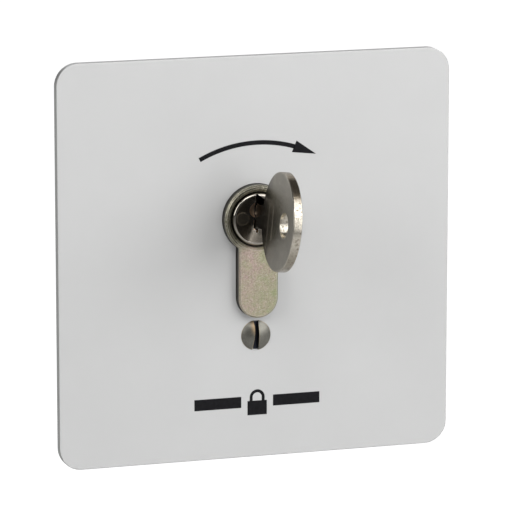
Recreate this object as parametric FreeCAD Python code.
"""Flush-mounted key switch: a square cover plate, a euro-profile half cylinder with its key, and the
momentary contact mechanism that the cylinder's cam works inside the wall box.

Millimetres. The origin is the centre of the wall plane. The front faces -Y, +Y goes into the wall and
+Z is up. The keyway is upright, where the key goes in and out. The key has play in it and leans a few
degrees clockwise, so the key is modelled upright and then turned about the plug's axis.
"""
import FreeCAD, Part
import math
import os

from FreeCAD import Vector

# ---- driving dimensions -------------------------------------------------------------------------
PLATE_SIZE = 100.0
PLATE_THICK = 2.0
PLATE_CORNER = 5.6
PLATE_EDGE = 0.3

FRAME_SIZE = 71.0
FRAME_THICK = 1.5
FRAME_CORNER = 6.0
GASKET_INSET = 3.0
GASKET_WIDTH = 9.0

BOX_SCREW_SPACING = 60.0
BOX_SLOT_RADIUS = 2.0
BOX_SLOT_LENGTH = 9.0

AXIS_Z = 10.0            # height of the plug's axis above the plate's centre
HEAD_RADIUS = 8.5        # the euro profile: round head, straight web
WEB_HALF = 5.0
WEB_DROP = 24.5          # from the plug's axis to the bottom of the web
CYLINDER_LENGTH = 40.0
CYLINDER_PROUD = 2.5     # how far the cylinder stands out of the plate
CAM_GAP_START = 25.0     # from the cylinder's front face
CAM_GAP_END = 35.0
FIXING_SCREW_BACK = 30.0  # from the cylinder's front face to the M5 fixing screw
FIXING_SCREW_DROP = 20.0
PROFILE_CLEARANCE = 0.25
COVER_CLEARANCE = 0.12

PLUG_RADIUS = 6.6
PLUG_BORE = 6.68
TAIL_RADIUS = 5.0

KEY_LEAN = 5.4           # degrees clockwise from upright, taken up by the play in the keyway
KEY_OFFSET = 0.3         # the key's mid plane stands a little to the right of the axis
BLADE_THICK = 2.05
BLADE_TOP = 3.4          # heights above the plug's axis
BLADE_BOTTOM = -2.3
BLADE_TIP = 20.0
BLADE_PLAY = 0.13
NECK_TOP = 4.05
NECK_BOTTOM = -1.5
BOW_RADIUS = 12.05
BOW_THICK = 2.25
BOW_Y = -22.6
BOW_RISE = 2.4           # bow centre above the plug's axis
RING_HOLE_RADIUS = 3.1
RING_HOLE_OUT = 4.9

PIN_COUNT = 5
PIN_PITCH = 4.0
FIRST_PIN_BACK = 6.0     # from the cylinder's front face
PIN_RADIUS = 1.35
CHAMBER_RADIUS = 1.42
BITTING_SLOPE = 0.07     # rise of the bitting per millimetre towards the tip
NOTCH_DEPTHS = (0.9, 1.3, 0.7, 1.1)

CAM_REACH = 14.5
CAM_NOSE_HALF = 3.6
LOBE_BASE = 9.3
LOBE_RISE = 0.055        # millimetres of lift per degree
FOLLOWER_GAP = 0.2

SCREW_DROP = 19.3        # cover screw below the plate's centre
CORNER_SPACING = 17.5    # spacers behind the carrier, left and right, above and below

# ---- planes along Y -----------------------------------------------------------------------------
FRAME_FRONT = -FRAME_THICK
PLATE_FRONT = FRAME_FRONT - PLATE_THICK
CYLINDER_FRONT = PLATE_FRONT - CYLINDER_PROUD
CYLINDER_BACK = CYLINDER_FRONT + CYLINDER_LENGTH
GAP_FRONT = CYLINDER_FRONT + CAM_GAP_START
GAP_BACK = CYLINDER_FRONT + CAM_GAP_END
FIXING_Y = CYLINDER_FRONT + FIXING_SCREW_BACK
FIXING_Z = AXIS_Z - FIXING_SCREW_DROP
WEB_BOTTOM = AXIS_Z - WEB_DROP
FLANGE_BACK = 3.5
CARRIER_BACK = 18.0
LUG_BACK = 30.0
AXLE_HEAD_FRONT = 34.4
ROTOR_FRONT = 35.6
ROTOR_BACK = 39.6
HUB_BACK = 44.2
REAR_PLATE_FRONT = 44.5
REAR_PLATE_BACK = 47.0

PLUG_AXIS = Vector(0, 0, AXIS_Z)


# ---- shapes that repeat -------------------------------------------------------------------------
def block(x, y, z):
    """A box between two limits on each axis."""
    size = (x[1] - x[0], y[1] - y[0], z[1] - z[0])
    return Part.makeBox(*size, Vector(x[0], y[0], z[0]))


def rod_x(radius, x, y, z):
    return Part.makeCylinder(radius, x[1] - x[0], Vector(x[0], y, z), Vector(1, 0, 0))


def rod_y(radius, y, x=0.0, z=0.0):
    return Part.makeCylinder(radius, y[1] - y[0], Vector(x, y[0], z), Vector(0, 1, 0))


def rod_z(radius, z, x, y):
    return Part.makeCylinder(radius, z[1] - z[0], Vector(x, y, z[0]), Vector(0, 0, 1))


def cone_y(front_radius, back_radius, y, x=0.0, z=0.0):
    return Part.makeCone(front_radius, back_radius, y[1] - y[0], Vector(x, y[0], z), Vector(0, 1, 0))


def cone_z(low_radius, high_radius, z, x, y):
    return Part.makeCone(low_radius, high_radius, z[1] - z[0], Vector(x, y, z[0]), Vector(0, 0, 1))


def joined(pieces):
    """One solid from pieces that touch or overlap."""
    whole = pieces[0].multiFuse(pieces[1:])
    return whole.removeSplitter()


def without(shape, cutters):
    return shape.cut(Part.makeCompound(cutters))


def edges_along(shape, axis):
    """The straight edges that run along one axis."""
    straight = [edge for edge in shape.Edges if edge.Curve.TypeId == "Part::GeomLine"]
    return [edge for edge in straight if abs(edge.tangentAt(edge.FirstParameter).dot(axis)) > 0.999]


def edges_at(shape, y, tolerance=0.01):
    """The edges that lie wholly in one plane across the Y axis."""
    chosen = []
    for edge in shape.Edges:
        if abs(edge.BoundBox.YMin - y) < tolerance and abs(edge.BoundBox.YMax - y) < tolerance:
            chosen.append(edge)
    return chosen


def rounded_plate(width, height, corner, y):
    """A plate centred on the Y axis, with round corners."""
    plate = block((-width / 2, width / 2), y, (-height / 2, height / 2))
    return plate.makeFillet(corner, edges_along(plate, Vector(0, 1, 0)))


def euro_profile(grow, y):
    """The keyhole-shaped section of the cylinder, grown by a margin all round."""
    radius = WEB_HALF + grow
    heel = WEB_BOTTOM + WEB_HALF
    head = rod_y(HEAD_RADIUS + grow, y, z=AXIS_Z)
    web = block((-radius, radius), y, (heel, AXIS_Z))
    foot = rod_y(radius, y, z=heel)
    return joined([head, web, foot])


def sector(inner, outer, start, end, y):
    """Part of a ring about the plug's axis; angles in degrees, clockwise from the top from the front."""
    ring = rod_y(outer, y, z=AXIS_Z).cut(rod_y(inner, y, z=AXIS_Z))
    reach = 3 * outer

    def ray(angle):
        bearing = math.radians(angle)
        return Vector(reach * math.sin(bearing), y[0], AXIS_Z + reach * math.cos(bearing))

    corner = Vector(0, y[0], AXIS_Z)
    outline = Part.makePolygon([corner, ray(start), ray(end), corner])
    wedge = Part.Face(outline).extrude(Vector(0, y[1] - y[0], 0))
    return ring.common(wedge)


def coil(mean_radius, wire_radius, length, turns):
    """A helical spring along +Z from the origin, measured between the wire's centres."""
    path = Part.makeHelix(length / turns, length, mean_radius)
    circle = Part.makeCircle(wire_radius, Vector(mean_radius, 0, 0), Vector(0, 1, 0))
    return Part.Wire(path).makePipeShell([Part.Wire(circle)], True, True)


def leaning(shape):
    """Turn the upright key, or the slot for it, to the key's lean in the keyway."""
    copy = shape.copy()
    copy.rotate(PLUG_AXIS, Vector(0, 1, 0), KEY_LEAN)
    return copy


def pan_screw(head_radius, head_height, shank_radius, length, slot, start, direction):
    """A slotted pan-head screw: the head's underside is at start, and the shank leaves along direction."""
    shank = Part.makeCylinder(shank_radius, length, start, direction)
    head = Part.makeCylinder(head_radius, head_height, start, direction * -1)
    rim = [edge for edge in head.Edges if edge.Curve.TypeId == "Part::GeomCircle"]
    far = [edge for edge in rim if (edge.CenterOfMass - start).Length > head_height / 2]
    head = head.makeFillet(head_height * 0.35, far)
    across = Vector(0, 0, 1) if abs(direction.z) < 0.5 else Vector(0, 1, 0)
    side = direction.cross(across)
    reach = head_radius * 1.2
    corner = start - direction * (head_height * 1.1) - across * reach - side * (slot / 2)
    along = across * 2 * reach
    over = side * slot
    outline = Part.makePolygon([corner, corner + along, corner + along + over, corner + over, corner])
    groove = Part.Face(outline).extrude(direction * (head_height * 0.6))
    return shank.fuse(head).cut(groove)


def flush_screw(head_radius, shank_radius, y, x, z):
    """A countersunk screw whose flat head lies in the plane at the front."""
    depth = head_radius - shank_radius
    head = cone_y(head_radius, shank_radius, (y[0], y[0] + depth), x, z)
    shank = rod_y(shank_radius, (y[0] + depth, y[1]), x, z)
    groove = block((x - head_radius, x + head_radius), (y[0] - 1, y[0] + depth * 0.5), (z - 0.4, z + 0.4))
    return head.fuse(shank).cut(groove)


def four_corners(spacing):
    return [(x, z) for x in (-spacing, spacing) for z in (-spacing, spacing)]


def pin_stations():
    """Where each pin stands along Y."""
    return [CYLINDER_FRONT + FIRST_PIN_BACK + PIN_PITCH * i for i in range(PIN_COUNT)]


# ---- cover plate, its screw, gasket and support frame -------------------------------------------
COVER_SCREW_RADIUS = 2.0
COVER_HEAD_RADIUS = 3.75
COVER_HEAD_RISE = 1.3
COVER_SLOT = 1.05
COVER_SLOT_FLOOR = PLATE_FRONT + 0.25


def cover_plate():
    plate = rounded_plate(PLATE_SIZE, PLATE_SIZE, PLATE_CORNER, (PLATE_FRONT, FRAME_FRONT))
    plate = plate.makeFillet(PLATE_EDGE, edges_at(plate, PLATE_FRONT))
    through = (PLATE_FRONT - 1, FRAME_FRONT + 1)
    sink_depth = COVER_HEAD_RADIUS - COVER_SCREW_RADIUS
    sink_y = (PLATE_FRONT, PLATE_FRONT + sink_depth)
    sink = cone_y(COVER_HEAD_RADIUS + 0.05, COVER_SCREW_RADIUS + 0.05, sink_y, z=-SCREW_DROP)
    screw_hole = rod_y(COVER_SCREW_RADIUS + 0.05, through, z=-SCREW_DROP)
    return without(plate, [euro_profile(COVER_CLEARANCE, through), sink, screw_hole])


def cover_screw():
    """Raised countersunk screw; the left flank of its upright slot is worn away towards the bottom."""
    ball_radius = (COVER_HEAD_RADIUS**2 + COVER_HEAD_RISE**2) / (2 * COVER_HEAD_RISE)
    ball = Part.makeSphere(ball_radius, Vector(0, PLATE_FRONT - COVER_HEAD_RISE + ball_radius, -SCREW_DROP))
    front = PLATE_FRONT - 2 * COVER_HEAD_RISE
    cap = ball.common(rod_y(COVER_HEAD_RADIUS, (front, PLATE_FRONT), z=-SCREW_DROP))
    cone_back = PLATE_FRONT + COVER_HEAD_RADIUS - COVER_SCREW_RADIUS
    cone = cone_y(COVER_HEAD_RADIUS, COVER_SCREW_RADIUS, (PLATE_FRONT, cone_back), z=-SCREW_DROP)
    shank = rod_y(COVER_SCREW_RADIUS, (cone_back, 8.0), z=-SCREW_DROP)
    slot_reach = COVER_HEAD_RADIUS + 1
    slot = block(
        (-COVER_SLOT / 2, COVER_SLOT / 2),
        (front, COVER_SLOT_FLOOR),
        (-SCREW_DROP - slot_reach, -SCREW_DROP + slot_reach),
    )
    flank = -COVER_SLOT / 2
    corners = [(flank, 0.8), (flank - 0.65, -slot_reach), (flank, -slot_reach)]
    outline = [Vector(x, front, z - SCREW_DROP) for x, z in corners]
    worn_face = Part.Face(Part.makePolygon(outline + outline[:1]))
    worn = worn_face.extrude(Vector(0, COVER_SLOT_FLOOR - front, 0))
    return without(joined([cap, cone, shank]), [slot, worn])


def wall_gasket():
    outer = PLATE_SIZE - 2 * GASKET_INSET
    inner = outer - 2 * GASKET_WIDTH
    ring = rounded_plate(outer, outer, PLATE_CORNER, (FRAME_FRONT, 0))
    return ring.cut(rounded_plate(inner, inner, PLATE_CORNER, (FRAME_FRONT - 1, 1)))


FRAME_SCREW_RADIUS = 1.25
FRAME_SCREW_HEAD = 2.35
FRAME_SCREWS = ((-13.0, 18.5), (13.0, 18.5), (-17.0, -8.0), (17.0, -8.0))


def slot_hole(x, z, along_x):
    """A slot in the support frame for a wall-box screw, its length along X or along Z."""
    reach = BOX_SLOT_LENGTH / 2 - BOX_SLOT_RADIUS
    through = (FRAME_FRONT - 1, 1)
    step_x, step_z = (reach, 0) if along_x else (0, reach)
    half_x = reach if along_x else BOX_SLOT_RADIUS
    half_z = BOX_SLOT_RADIUS if along_x else reach
    middle = block((x - half_x, x + half_x), through, (z - half_z, z + half_z))
    ends = [rod_y(BOX_SLOT_RADIUS, through, x + s * step_x, z + s * step_z) for s in (-1, 1)]
    return joined([middle] + ends)


def support_frame():
    frame = rounded_plate(FRAME_SIZE, FRAME_SIZE, FRAME_CORNER, (FRAME_FRONT, 0))
    half = BOX_SCREW_SPACING / 2
    through = (FRAME_FRONT - 1, 1)
    cutters = [slot_hole(x, 0, True) for x in (-half, half)]
    cutters += [slot_hole(0, z, False) for z in (-half, half)]
    cutters.append(euro_profile(PROFILE_CLEARANCE, through))
    cutters.append(rod_y(COVER_SCREW_RADIUS + 0.05, through, z=-SCREW_DROP))
    depth = FRAME_SCREW_HEAD - FRAME_SCREW_RADIUS
    sink_y = (FRAME_FRONT, FRAME_FRONT + depth)
    for x, z in FRAME_SCREWS:
        cutters.append(cone_y(FRAME_SCREW_HEAD, FRAME_SCREW_RADIUS, sink_y, x, z))
        cutters.append(rod_y(FRAME_SCREW_RADIUS, through, x, z))
    return without(frame, cutters)


def frame_screws():
    y = (FRAME_FRONT, 3.0)
    return [flush_screw(FRAME_SCREW_HEAD, FRAME_SCREW_RADIUS, y, x, z) for x, z in FRAME_SCREWS]


# ---- carrier that holds the cylinder ------------------------------------------------------------
FLANGE_SIZE = 44.0
FLANGE_CORNER = 9.0
CARRIER_WALL = 3.0
LUG_OUT = 13.0
LUG_TOP = FIXING_Z + 3.8
SPACER_SCREW_RADIUS = 1.5
SPACER_HEAD_RADIUS = 2.8


def cylinder_carrier():
    """Die-cast flange and sleeve round the profile, with a cradle under the web for the fixing screw."""
    flange = rounded_plate(FLANGE_SIZE, FLANGE_SIZE, FLANGE_CORNER, (0, FLANGE_BACK))
    sleeve = euro_profile(CARRIER_WALL, (0, CARRIER_BACK))
    cradle_bottom = WEB_BOTTOM - CARRIER_WALL
    cradle = block((-LUG_OUT, LUG_OUT), (FLANGE_BACK, LUG_BACK), (cradle_bottom, LUG_TOP))
    cradle = cradle.makeFillet(2.5, edges_along(cradle, Vector(0, 1, 0)))
    screw_boss = rod_y(4.2, (0, 9), z=-SCREW_DROP)
    body = joined([flange, sleeve, cradle, screw_boss])
    through = (-1, LUG_BACK + 1)
    trough = block((-WEB_HALF - 0.2, WEB_HALF + 0.2), (CARRIER_BACK, LUG_BACK + 1), (FIXING_Z, LUG_TOP + 5))
    cutters = [euro_profile(0.2, through), trough]
    cutters.append(rod_y(COVER_SCREW_RADIUS, (-1, 12), z=-SCREW_DROP))
    cutters.append(rod_x(2.75, (-LUG_OUT - 1, WEB_HALF), FIXING_Y, FIXING_Z))
    cutters += [rod_y(FRAME_SCREW_RADIUS, (-1, 3.0), x, z) for x, z in FRAME_SCREWS]
    depth = SPACER_HEAD_RADIUS - SPACER_SCREW_RADIUS
    for x, z in four_corners(CORNER_SPACING):
        cutters.append(cone_y(SPACER_HEAD_RADIUS, SPACER_SCREW_RADIUS, (0, depth), x, z))
        cutters.append(rod_y(SPACER_SCREW_RADIUS, (-1, FLANGE_BACK + 1), x, z))
    return without(body, cutters)


# ---- cylinder body, pins and springs ------------------------------------------------------------
FIXING_SCREW_RADIUS = 2.5
DRIVER_TOP = AXIS_Z - PLUG_BORE - 0.04
DRIVER_LENGTH = 5.0
CHAMBER_PLUG_TOP = WEB_BOTTOM + 2.0
RIM_BORE = 6.85
RIM_CONE = 7.6
RIM_CONE_DEPTH = 0.8


def cylinder_body():
    body = euro_profile(0, (CYLINDER_FRONT, CYLINDER_BACK))
    body = body.makeChamfer(0.4, edges_at(body, CYLINDER_FRONT))
    gap_floor = AXIS_Z - CAM_REACH - 0.7
    cutters = [block((-10, 10), (GAP_FRONT, GAP_BACK), (gap_floor, AXIS_Z + 10))]
    cutters.append(rod_y(PLUG_BORE, (CYLINDER_FRONT - 1, CYLINDER_BACK + 1), z=AXIS_Z))
    cutters.append(rod_y(RIM_BORE, (CYLINDER_FRONT - 1, CYLINDER_FRONT + 1.1), z=AXIS_Z))
    cutters.append(cone_y(RIM_CONE, RIM_BORE, (CYLINDER_FRONT, CYLINDER_FRONT + RIM_CONE_DEPTH), z=AXIS_Z))
    cutters.append(rod_x(FIXING_SCREW_RADIUS, (-WEB_HALF - 1, WEB_HALF + 1), FIXING_Y, FIXING_Z))
    cutters += [rod_z(CHAMBER_RADIUS, (WEB_BOTTOM - 1, AXIS_Z - 5), 0, y) for y in pin_stations()]
    return without(body, cutters)


def cylinder_screw():
    """M5 screw through the cradle's left lug into the thread in the web."""
    start = Vector(-LUG_OUT, FIXING_Y, FIXING_Z)
    return pan_screw(4.2, 2.6, FIXING_SCREW_RADIUS, LUG_OUT + 4.5, 1.2, start, Vector(1, 0, 0))


def driver_pins():
    return [rod_z(PIN_RADIUS, (DRIVER_TOP - DRIVER_LENGTH, DRIVER_TOP), 0, y) for y in pin_stations()]


def chamber_plugs():
    return [rod_z(CHAMBER_RADIUS, (WEB_BOTTOM + 0.3, CHAMBER_PLUG_TOP), 0, y) for y in pin_stations()]


def pin_springs():
    wire = 0.16
    low = CHAMBER_PLUG_TOP + wire + 0.02
    high = DRIVER_TOP - DRIVER_LENGTH - wire - 0.02
    spring = coil(1.0, wire, high - low, 7)
    springs = []
    for y in pin_stations():
        copy = spring.copy()
        copy.translate(Vector(0, y, low))
        springs.append(copy)
    return springs


# ---- plug, anti-drill pin, key pins, cam --------------------------------------------------------
PLUG_FRONT = CYLINDER_FRONT + 0.15
PLUG_RIM = 0.85
DISH_RADIUS = 6.0        # the plug's face is slightly dished inside its rim
DISH_DEPTH = 0.25
TAIL_BACK = 32.0
CLIP_FRONT = GAP_BACK + 0.1
CLIP_BACK = CLIP_FRONT + 0.8
CLIP_GROOVE_RADIUS = 4.4
GUARD_PIN_X = -4.0
GUARD_PIN_Z = AXIS_Z + 0.3
GUARD_PIN_RADIUS = 1.72
GUARD_PIN_FRONT = PLUG_FRONT + 0.14
CHAMBER_TOP = AXIS_Z + 1.6
SLIT_X = (-0.65, -0.05)
SLIT_Z = (AXIS_Z - 3.3, AXIS_Z + 6.25)
RECESS_X = -0.3
RECESS_Z = AXIS_Z + 2.3
RECESS_RADIUS = 2.0
RECESS_DEPTH = 1.5
POCKET_DEPTH = 4.0


def blade_section(play, y):
    """The blade's cross-section run along Y; play is added outside for the keyway that takes it."""
    left = KEY_OFFSET - BLADE_THICK / 2 - play
    right = KEY_OFFSET + BLADE_THICK / 2 + play
    body = block((left, right), y, (AXIS_Z + BLADE_BOTTOM - play, AXIS_Z + BLADE_TOP + play))
    depth = 0.55
    left_groove = block((left - 1, left + depth), y, (AXIS_Z + 0.1 + play, AXIS_Z + 1.0 - play))
    right_groove = block((right - depth, right + 1), y, (AXIS_Z + 1.6 + play, AXIS_Z + 2.8 - play))
    return without(body, [left_groove, right_groove])


def recess(radius, depth, x, z):
    """A ball that cuts a round hollow with this radius at the plug's face."""
    ball_radius = (radius**2 + depth**2) / (2 * depth)
    return Part.makeSphere(ball_radius, Vector(x, PLUG_FRONT + depth - ball_radius, z))


def pocket():
    """Opening over the blade, cut with a sloping roof that follows the plug's round edge."""
    y = PLUG_FRONT - 1
    outline = [(SLIT_X[0], 3.3), (2.0, 3.3), (2.0, 4.8), (SLIT_X[1], 6.1), (SLIT_X[0], 6.1)]
    points = [Vector(x, y, AXIS_Z + z) for x, z in outline]
    face = Part.Face(Part.makePolygon(points + points[:1]))
    return face.extrude(Vector(0, POCKET_DEPTH + 1, 0))


def keyway():
    """The slot for the blade, an upright slit beside it, the opening over it and two side hollows."""
    y = (PLUG_FRONT - 1, BLADE_TIP + 0.5)
    slot = leaning(blade_section(BLADE_PLAY, y))
    slit = block(SLIT_X, y, SLIT_Z)
    upper_hollow = recess(RECESS_RADIUS, RECESS_DEPTH, RECESS_X, RECESS_Z)
    lower_hollow = rod_z(0.55, (AXIS_Z - 2.6, AXIS_Z - 0.1), SLIT_X[0] - 0.1, PLUG_FRONT + 0.1)
    return [slot, slit, pocket(), upper_hollow, lower_hollow]


def plug():
    barrel = rod_y(PLUG_RADIUS, (PLUG_FRONT, GAP_FRONT), z=AXIS_Z)
    barrel = barrel.makeFillet(PLUG_RIM, edges_at(barrel, PLUG_FRONT))
    tail = rod_y(TAIL_RADIUS, (GAP_FRONT, TAIL_BACK), z=AXIS_Z)
    body = joined([barrel, tail])
    groove = rod_y(TAIL_RADIUS + 1, (CLIP_FRONT, CLIP_BACK), z=AXIS_Z)
    groove = groove.cut(rod_y(CLIP_GROOVE_RADIUS, (CLIP_FRONT, CLIP_BACK), z=AXIS_Z))
    dish = recess(DISH_RADIUS, DISH_DEPTH, 0, AXIS_Z)
    guard_hole = rod_y(GUARD_PIN_RADIUS, (PLUG_FRONT - 1, PLUG_FRONT + 8), GUARD_PIN_X, GUARD_PIN_Z)
    cutters = keyway() + [groove, dish, guard_hole]
    chamber = (AXIS_Z - PLUG_RADIUS - 1, CHAMBER_TOP)
    cutters += [rod_z(CHAMBER_RADIUS, chamber, 0, y) for y in pin_stations()]
    return without(body, cutters)


def anti_drill_pin():
    pin = rod_y(GUARD_PIN_RADIUS, (GUARD_PIN_FRONT, PLUG_FRONT + 8), GUARD_PIN_X, GUARD_PIN_Z)
    return pin.makeChamfer(0.15, edges_at(pin, GUARD_PIN_FRONT))


def bitting_height(y):
    """Height of the blade's lower edge, which rises steadily towards the tip."""
    start = pin_stations()[0] - 2.5
    return AXIS_Z + BLADE_BOTTOM + BITTING_SLOPE * max(0.0, y - start)


def key_pins():
    """One pin under each station, long enough to reach the bitting and end at the shear line."""
    bottom = AXIS_Z - math.sqrt((PLUG_RADIUS - 0.02) ** 2 - PIN_RADIUS**2) + 0.02
    pins = []
    for y in pin_stations():
        top = bitting_height(y) - 0.12
        shoulder = top - 0.9
        straight = rod_z(PIN_RADIUS, (bottom, shoulder), 0, y)
        point = cone_z(PIN_RADIUS, 0.45, (shoulder, top), 0, y)
        pins.append(straight.fuse(point))
    return pins


def cam():
    """Ring on the plug's tail with the nose that works the switch; it points down at rest."""
    y = (GAP_FRONT + 0.15, GAP_BACK - 0.15)
    ring = rod_y(8.3, y, z=AXIS_Z)
    nose = block((-CAM_NOSE_HALF, CAM_NOSE_HALF), y, (AXIS_Z - CAM_REACH, AXIS_Z))
    nose = nose.common(rod_y(CAM_REACH, y, z=AXIS_Z))
    return joined([ring, nose]).cut(rod_y(TAIL_RADIUS + 0.03, y, z=AXIS_Z))


def cam_clip():
    """Open retaining ring in the groove of the plug's tail."""
    y = (CLIP_FRONT, CLIP_BACK)
    ring = rod_y(5.9, y, z=AXIS_Z).cut(rod_y(CLIP_GROOVE_RADIUS, y, z=AXIS_Z))
    mouth = block((-2.4, 2.4), (y[0] - 1, y[1] + 1), (AXIS_Z, AXIS_Z + 8))
    return ring.cut(mouth)


# ---- key ----------------------------------------------------------------------------------------
def bitting_cutter():
    """What is taken off under the blade: a long ramp, with a notch between each two pins."""
    left = KEY_OFFSET - 3
    stations = pin_stations()
    start = stations[0] - 2.5
    end = BLADE_TIP + 1
    low = AXIS_Z + BLADE_BOTTOM - 1
    points = [(start - 1, low), (start, AXIS_Z + BLADE_BOTTOM)]
    for y, depth in zip(stations, NOTCH_DEPTHS):
        middle = y + PIN_PITCH / 2
        points.append((middle - 0.6, bitting_height(middle - 0.6)))
        points.append((middle, bitting_height(middle) + depth))
        points.append((middle + 0.6, bitting_height(middle + 0.6)))
    points += [(end, bitting_height(end)), (end, low), (start - 1, low)]
    outline = Part.makePolygon([Vector(left, y, z) for y, z in points])
    return Part.Face(outline).extrude(Vector(6, 0, 0))


def key_tip_cutter():
    """The slope at the top of the tip that lifts the pins as the key goes in."""
    top = AXIS_Z + BLADE_TOP + 1
    points = [(BLADE_TIP - 5, top), (BLADE_TIP - 4, AXIS_Z + BLADE_TOP)]
    points += [(BLADE_TIP + 1, AXIS_Z + 1.2), (BLADE_TIP + 1, top), (BLADE_TIP - 5, top)]
    outline = Part.makePolygon([Vector(KEY_OFFSET - 3, y, z) for y, z in points])
    return Part.Face(outline).extrude(Vector(6, 0, 0))


RIBS = ((-15.7, -9.3, 3.3), (-18.85, -5.7, 2.9))   # where each stands, its low and high end on the bow
RIB_WIDTH = 0.35
RIB_HEIGHT = 0.1


def key():
    bow_z = AXIS_Z + BOW_RISE
    sides = (KEY_OFFSET - BOW_THICK / 2, KEY_OFFSET + BOW_THICK / 2)
    bow = rod_x(BOW_RADIUS, sides, BOW_Y, bow_z)
    bow = bow.makeFillet(0.25, [e for e in bow.Edges if e.Curve.TypeId == "Part::GeomCircle"])
    neck = block(sides, (BOW_Y, CYLINDER_FRONT - 0.05), (AXIS_Z + NECK_BOTTOM, AXIS_Z + NECK_TOP))
    blade = blade_section(0, (CYLINDER_FRONT - 0.3, BLADE_TIP))
    ribs = []
    for x in ((sides[0] - RIB_HEIGHT, sides[0] + 0.2), (sides[1] - 0.2, sides[1] + RIB_HEIGHT)):
        ribs += [block(x, (y, y + RIB_WIDTH), (bow_z + low, bow_z + high)) for y, low, high in RIBS]
    ring_hole = rod_x(RING_HOLE_RADIUS, (sides[0] - 1, sides[1] + 1), BOW_Y - RING_HOLE_OUT, bow_z)
    body = joined([bow, neck, blade] + ribs)
    return leaning(without(body, [bitting_cutter(), key_tip_cutter(), ring_hole]))


# ---- switching rotor, its axle and its return spring --------------------------------------------
AXLE_RADIUS = 2.5
SPRING_RADIUS = 5.6
SPRING_WIRE = 0.4
SPRING_START = 40.05
SPRING_END = 43.65
PEG_RADIUS = 0.8
PEG_X = SPRING_RADIUS - SPRING_WIRE - PEG_RADIUS - 0.05
PEG_RISE = 5.5


def lobe_radius(bearing):
    """The lobe's radius at a bearing; it lifts the follower evenly with the angle turned."""
    return LOBE_BASE + LOBE_RISE * (180.0 - bearing)


def switching_rotor():
    """Plastic rotor behind the cylinder: an arm reaches forward to the cam, a lobe works the contact."""
    y = (ROTOR_FRONT, ROTOR_BACK)
    disc = rod_y(8.6, y, z=AXIS_Z)
    hub = rod_y(4.4, (ROTOR_BACK, HUB_BACK), z=AXIS_Z)
    first, last, step = 130, 190, 4
    curve = []
    for bearing in range(first, last + 1, step):
        angle = math.radians(bearing)
        radius = lobe_radius(bearing)
        curve.append(Vector(radius * math.sin(angle), y[0], AXIS_Z + radius * math.cos(angle)))
    spiral = Part.BSplineCurve()
    spiral.interpolate(curve)
    centre = Vector(0, y[0], AXIS_Z)
    sides = [Part.makeLine(curve[-1], centre), Part.makeLine(centre, curve[0])]
    lobe = Part.Face(Part.Wire([spiral.toShape()] + sides)).extrude(Vector(0, y[1] - y[0], 0))
    arm = sector(10.8, 13.8, 216, 240, (20.5, ROTOR_BACK))
    foot = sector(11.2, 13.8, 200, 240, (20.5, 28.5))
    root = sector(7.5, 13.8, 216, 240, y)
    bore = rod_y(AXLE_RADIUS + 0.06, (ROTOR_FRONT - 1, HUB_BACK + 1), z=AXIS_Z)
    peg = rod_y(PEG_RADIUS, (ROTOR_BACK, ROTOR_BACK + 1.6), PEG_X, AXIS_Z + PEG_RISE)
    return joined([disc, hub, lobe, arm, foot, root, peg]).cut(bore)


def rotor_axle():
    head = rod_y(4.0, (AXLE_HEAD_FRONT, AXLE_HEAD_FRONT + 1.0), z=AXIS_Z)
    head = head.makeChamfer(0.3, edges_at(head, AXLE_HEAD_FRONT))
    return joined([head, rod_y(AXLE_RADIUS, (AXLE_HEAD_FRONT, REAR_PLATE_BACK), z=AXIS_Z)])


def return_spring():
    """Torsion spring round the rotor's hub, with one leg on the rotor's peg and one on the rear plate's."""
    length = SPRING_END - SPRING_START
    body = coil(SPRING_RADIUS, SPRING_WIRE, length, 3.5)
    leg = 7.5
    front_leg = Part.makeCylinder(SPRING_WIRE, leg, Vector(SPRING_RADIUS, 0, 0), Vector(0, -1, 0))
    back_leg = Part.makeCylinder(SPRING_WIRE, leg, Vector(-SPRING_RADIUS, 0, length), Vector(0, -1, 0))
    spring = body.fuse([front_leg, back_leg])
    spring.rotate(Vector(0, 0, 0), Vector(1, 0, 0), -90)
    spring.translate(Vector(0, SPRING_START, AXIS_Z))
    return spring


# ---- rear plate and spacers ---------------------------------------------------------------------
REAR_SIZE = 42.0
SPACER_RADIUS = 2.7
CONTACT_SCREW_RADIUS = 1.25
CONTACT_SCREWS = ((-7.0, -5.8), (7.0, -5.8))


def rear_plate():
    plate = rounded_plate(REAR_SIZE, REAR_SIZE, 6.5, (REAR_PLATE_FRONT, REAR_PLATE_BACK))
    through = (REAR_PLATE_FRONT - 1, REAR_PLATE_BACK + 1)
    peg = rod_y(PEG_RADIUS, (REAR_PLATE_FRONT - 1.9, REAR_PLATE_FRONT), -PEG_X, AXIS_Z + PEG_RISE)
    cutters = [rod_y(AXLE_RADIUS + 0.02, through, z=AXIS_Z)]
    cutters += [rod_y(SPACER_SCREW_RADIUS, through, x, z) for x, z in four_corners(CORNER_SPACING)]
    cutters += [rod_y(CONTACT_SCREW_RADIUS, through, x, z) for x, z in CONTACT_SCREWS]
    return joined([without(plate, cutters), peg])


def spacers():
    """Four round posts, threaded at both ends, that hold the rear plate behind the carrier."""
    posts = []
    for x, z in four_corners(CORNER_SPACING):
        post = rod_y(SPACER_RADIUS, (FLANGE_BACK, REAR_PLATE_FRONT), x, z)
        front = rod_y(SPACER_SCREW_RADIUS, (FLANGE_BACK - 1, FLANGE_BACK + 6.5), x, z)
        back = rod_y(SPACER_SCREW_RADIUS, (REAR_PLATE_FRONT - 6.5, REAR_PLATE_FRONT + 1), x, z)
        posts.append(without(post, [front, back]))
    return posts


def front_spacer_screws():
    return [
        flush_screw(SPACER_HEAD_RADIUS, SPACER_SCREW_RADIUS, (0, FLANGE_BACK + 6), x, z)
        for x, z in four_corners(CORNER_SPACING)
    ]


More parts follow.
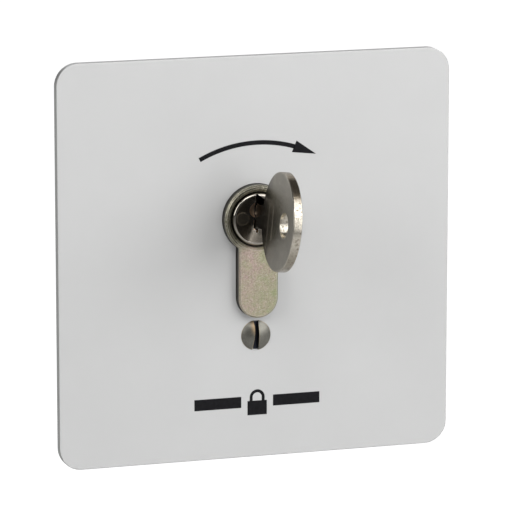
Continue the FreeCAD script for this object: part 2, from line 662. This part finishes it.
def rear_spacer_screws():
    return [
        pan_screw(2.7, 1.8, SPACER_SCREW_RADIUS, 8.0, 0.8, Vector(x, REAR_PLATE_BACK, z), Vector(0, -1, 0))
        for x, z in four_corners(CORNER_SPACING)
    ]


# ---- contact block ------------------------------------------------------------------------------
CASE_FRONT = 36.0
COVER_FRONT = 34.8
CASE_TOP = -4.0
CASE_BOTTOM = -20.0
CASE_HALF = 10.0
CAVITY_HALF = 8.0
CAVITY_TOP = -7.6
CAVITY_BOTTOM = -18.5
CAVITY_BACK = 42.0
STEM_HALF = 1.9
STEM_Y = (36.1, 39.9)
CONTACT_Y = 38.0
STEM_BOTTOM = -11.0
BRIDGE_TOP = -8.75
BRIDGE_THICK = 0.5
BRIDGE_HALF = 6.5
TIP_X = 5.3
TIP_THICK = 0.4
STRIP_TOP = -12.6
STRIP_THICK = 0.5
TERMINAL_X = 13.0
STRIP_END = 15.8


def contact_case():
    case = block((-CASE_HALF, CASE_HALF), (CASE_FRONT, REAR_PLATE_FRONT), (CASE_BOTTOM, CASE_TOP))
    case = case.makeFillet(0.8, edges_along(case, Vector(0, 1, 0)))
    cavity = block((-CAVITY_HALF, CAVITY_HALF), (CASE_FRONT - 1, CAVITY_BACK), (CAVITY_BOTTOM, CAVITY_TOP))
    guide_x = (-STEM_HALF - 0.1, STEM_HALF + 0.1)
    guide = block(guide_x, (CASE_FRONT - 1, STEM_Y[1] + 0.1), (CAVITY_TOP - 1, CASE_TOP + 1))
    slot_x = (-CASE_HALF - 1, CASE_HALF + 1)
    strip_slot = block(slot_x, (CASE_FRONT - 1, CONTACT_Y + 1.8), (STRIP_TOP - STRIP_THICK, STRIP_TOP))
    screw_y = (REAR_PLATE_FRONT - 6, REAR_PLATE_FRONT + 1)
    screws = [rod_y(CONTACT_SCREW_RADIUS, screw_y, x, z) for x, z in CONTACT_SCREWS]
    return without(case, [cavity, guide, strip_slot] + screws)


def contact_cover():
    cover = block((-CASE_HALF, CASE_HALF), (COVER_FRONT, CASE_FRONT), (CASE_BOTTOM, CASE_TOP))
    return cover.makeFillet(0.8, edges_along(cover, Vector(0, 1, 0)))


def contact_block_screws():
    return [
        pan_screw(2.3, 1.5, CONTACT_SCREW_RADIUS, 8.0, 0.7, Vector(x, REAR_PLATE_BACK, z), Vector(0, -1, 0))
        for x, z in CONTACT_SCREWS
    ]


def switch_plunger():
    """Follower with a rounded top that the rotor's lobe pushes down."""
    tip = AXIS_Z - LOBE_BASE - FOLLOWER_GAP
    tip_radius = 1.2
    stem = block((-STEM_HALF, STEM_HALF), STEM_Y, (STEM_BOTTOM, tip - 3.0))
    nose = block((-tip_radius, tip_radius), STEM_Y, (tip - 3.0, tip - tip_radius))
    crown = rod_y(tip_radius, STEM_Y, z=tip - tip_radius)
    slot = block((-STEM_HALF - 1, STEM_HALF + 1), STEM_Y, (BRIDGE_TOP - BRIDGE_THICK, BRIDGE_TOP))
    slot_depth = block((-STEM_HALF, STEM_HALF), (STEM_Y[0] + 0.6, STEM_Y[1] - 0.6), (STEM_BOTTOM, CASE_TOP))
    return joined([stem, nose, crown]).cut(slot.common(slot_depth))


def contact_bridge():
    narrow = (STEM_Y[0] + 0.6, STEM_Y[1] - 0.6)
    return block((-BRIDGE_HALF, BRIDGE_HALF), narrow, (BRIDGE_TOP - BRIDGE_THICK, BRIDGE_TOP))


def moving_contact_tips():
    top = BRIDGE_TOP - BRIDGE_THICK
    return [rod_z(1.1, (top - TIP_THICK, top), side * TIP_X, CONTACT_Y) for side in (-1, 1)]


def fixed_contact_tips():
    return [rod_z(1.1, (STRIP_TOP, STRIP_TOP + TIP_THICK), side * TIP_X, CONTACT_Y) for side in (-1, 1)]


def contact_strip(side):
    x = sorted((side * 3.6, side * STRIP_END))
    strip = block(x, (CONTACT_Y - 1.8, CONTACT_Y + 1.8), (STRIP_TOP - STRIP_THICK, STRIP_TOP))
    x = sorted((side * (CASE_HALF + 0.3), side * STRIP_END))
    pad = block(x, (CONTACT_Y - 2.6, CONTACT_Y + 2.6), (STRIP_TOP - 1.4, STRIP_TOP))
    hole = rod_z(1.5, (STRIP_TOP - 3, STRIP_TOP + 1), side * TERMINAL_X, CONTACT_Y)
    return joined([strip, pad]).cut(hole)


CLAMP_THICK = 0.9


def terminal_clamps():
    clamps = []
    half = 2.6
    for side in (-1, 1):
        x = side * TERMINAL_X
        y = (CONTACT_Y - half, CONTACT_Y + half)
        plate = block((x - half, x + half), y, (STRIP_TOP, STRIP_TOP + CLAMP_THICK))
        plate = plate.makeFillet(0.4, edges_along(plate, Vector(0, 0, 1)))
        clamps.append(plate.cut(rod_z(1.5, (STRIP_TOP - 1, STRIP_TOP + 2), x, CONTACT_Y)))
    return clamps


def terminal_screws():
    top = STRIP_TOP + CLAMP_THICK
    return [
        pan_screw(2.5, 1.7, 1.5, 5.0, 0.8, Vector(side * TERMINAL_X, CONTACT_Y, top), Vector(0, 0, -1))
        for side in (-1, 1)
    ]


def plunger_spring():
    wire = 0.22
    low = CAVITY_BOTTOM + wire + 0.02
    high = STEM_BOTTOM - wire - 0.02
    spring = coil(1.4, wire, high - low, 5)
    spring.translate(Vector(0, CONTACT_Y, low))
    return spring


# ---- the sub-parts, one file each ---------------------------------------------------------------
NODES = {
    "cover_plate": cover_plate,
    "cover_screw": cover_screw,
    "wall_gasket": wall_gasket,
    "support_frame": support_frame,
    "frame_screws": frame_screws,
    "cylinder_carrier": cylinder_carrier,
    "cylinder_screw": cylinder_screw,
    "cylinder_body": cylinder_body,
    "driver_pins": driver_pins,
    "pin_springs": pin_springs,
    "chamber_plugs": chamber_plugs,
    "plug": plug,
    "anti_drill_pin": anti_drill_pin,
    "key_pins": key_pins,
    "cam": cam,
    "cam_clip": cam_clip,
    "key": key,
    "switching_rotor": switching_rotor,
    "rotor_axle": rotor_axle,
    "return_spring": return_spring,
    "rear_plate": rear_plate,
    "spacers": spacers,
    "front_spacer_screws": front_spacer_screws,
    "rear_spacer_screws": rear_spacer_screws,
    "contact_case": contact_case,
    "contact_cover": contact_cover,
    "contact_block_screws": contact_block_screws,
    "switch_plunger": switch_plunger,
    "plunger_spring": plunger_spring,
    "contact_bridge": contact_bridge,
    "moving_contact_tips": moving_contact_tips,
    "fixed_contact_tips": fixed_contact_tips,
    "left_contact": lambda: contact_strip(-1),
    "right_contact": lambda: contact_strip(1),
    "terminal_clamps": terminal_clamps,
    "terminal_screws": terminal_screws,
}


def write_parts():
    os.makedirs("parts", exist_ok=True)
    for name, make in NODES.items():
        shape = make()
        if isinstance(shape, list):
            shape = Part.makeCompound(shape)
        shape.exportStep(f"parts/{name}.step")
        volume = sum(solid.Volume for solid in shape.Solids)
        print(f"{name}: {len(shape.Solids)} solid(s), valid {shape.isValid()}, {volume:.2f} mm3")


write_parts()
